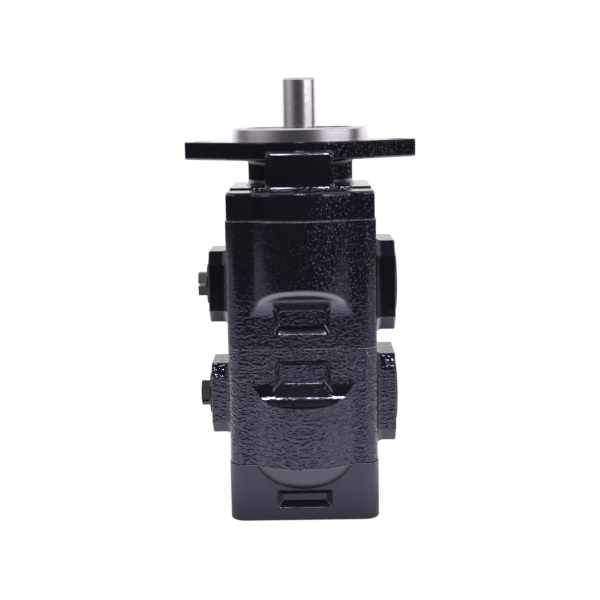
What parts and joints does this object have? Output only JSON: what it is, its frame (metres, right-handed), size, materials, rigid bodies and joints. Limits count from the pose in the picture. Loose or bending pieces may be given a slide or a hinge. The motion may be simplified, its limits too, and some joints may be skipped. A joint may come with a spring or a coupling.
{
  "type": "hydraulic pump",
  "caption": "Tandem external gear pump with a two-bolt flange, round drive shaft, side ports with plugs and meshing gear pairs in a black cast housing.",
  "frame": {"origin": "centre of the mounting pilot on the flange's mounting face", "axes": "+Z out along the drive shaft, +X towards the suction ports, -Y from the drive gears to the idler gears"},
  "size_m": [0.173, 0.1541, 0.315],
  "materials": {
    "black_paint": "gloss black paint on cast iron",
    "ground_steel": "ground and polished steel",
    "bearing_aluminium": "machined aluminium",
    "bush_bronze": "bronze bearing lining",
    "seal_rubber": "nitrile rubber",
    "backup_plastic": "hard plastic",
    "spring_steel": "phosphated spring steel",
    "blackened_steel": "blackened steel",
    "plug_plastic": "moulded black plastic"
  },
  "bodies": {
    "housing": {"front_cover": "black_paint", "front_body": "black_paint", "rear_body": "black_paint", "rear_cover": "black_paint", "front_section_front_bearing_block": "bearing_aluminium", "front_section_front_bushes": "bush_bronze", "front_section_front_block_seal": "seal_rubber", "front_section_front_backup_ring": "backup_plastic", "front_section_rear_bearing_block": "bearing_aluminium", "front_section_rear_bushes": "bush_bronze", "front_section_rear_block_seal": "seal_rubber", "front_section_rear_backup_ring": "backup_plastic", "rear_section_front_bearing_block": "bearing_aluminium", "rear_section_front_bushes": "bush_bronze", "rear_section_front_block_seal": "seal_rubber", "rear_section_front_backup_ring": "backup_plastic", "rear_section_rear_bearing_block": "bearing_aluminium", "rear_section_rear_bushes": "bush_bronze", "rear_section_rear_block_seal": "seal_rubber", "rear_section_rear_backup_ring": "backup_plastic", "front_body_seal": "seal_rubber", "middle_body_seal": "seal_rubber", "rear_body_seal": "seal_rubber", "outer_shaft_seal": "seal_rubber", "inner_shaft_seal": "seal_rubber", "retaining_ring": "spring_steel", "tie_bolts": "blackened_steel", "tie_bolt_washers": "blackened_steel", "dowel_pins": "ground_steel", "pressure_port_plugs": "plug_plastic", "suction_port_plugs": "plug_plastic"},
    "drive_train": {"drive_shaft": "ground_steel", "coupling_sleeve": "ground_steel", "rear_drive_gear": "ground_steel"},
    "front_idler": {"front_idler_gear": "ground_steel"},
    "rear_idler": {"rear_idler_gear": "ground_steel"}
  },
  "joints": [
    {"name": "drive_spin", "type": "hinge", "parent": "housing", "child": "drive_train", "pos_m": [0, 0, 0], "axis": [0, 0, 1], "continuous": true},
    {"name": "front_idler_spin", "type": "hinge", "parent": "housing", "child": "front_idler", "pos_m": [0, -0.0475, -0.0987], "axis": [0, 0, 1], "continuous": true},
    {"name": "rear_idler_spin", "type": "hinge", "parent": "housing", "child": "rear_idler", "pos_m": [0, -0.0475, -0.1907], "axis": [0, 0, 1], "continuous": true}
  ],
  "couplings": [
    {"joint": "front_idler_spin", "follows": "drive_spin", "ratio": -1},
    {"joint": "rear_idler_spin", "follows": "drive_spin", "ratio": -1}
  ]
}
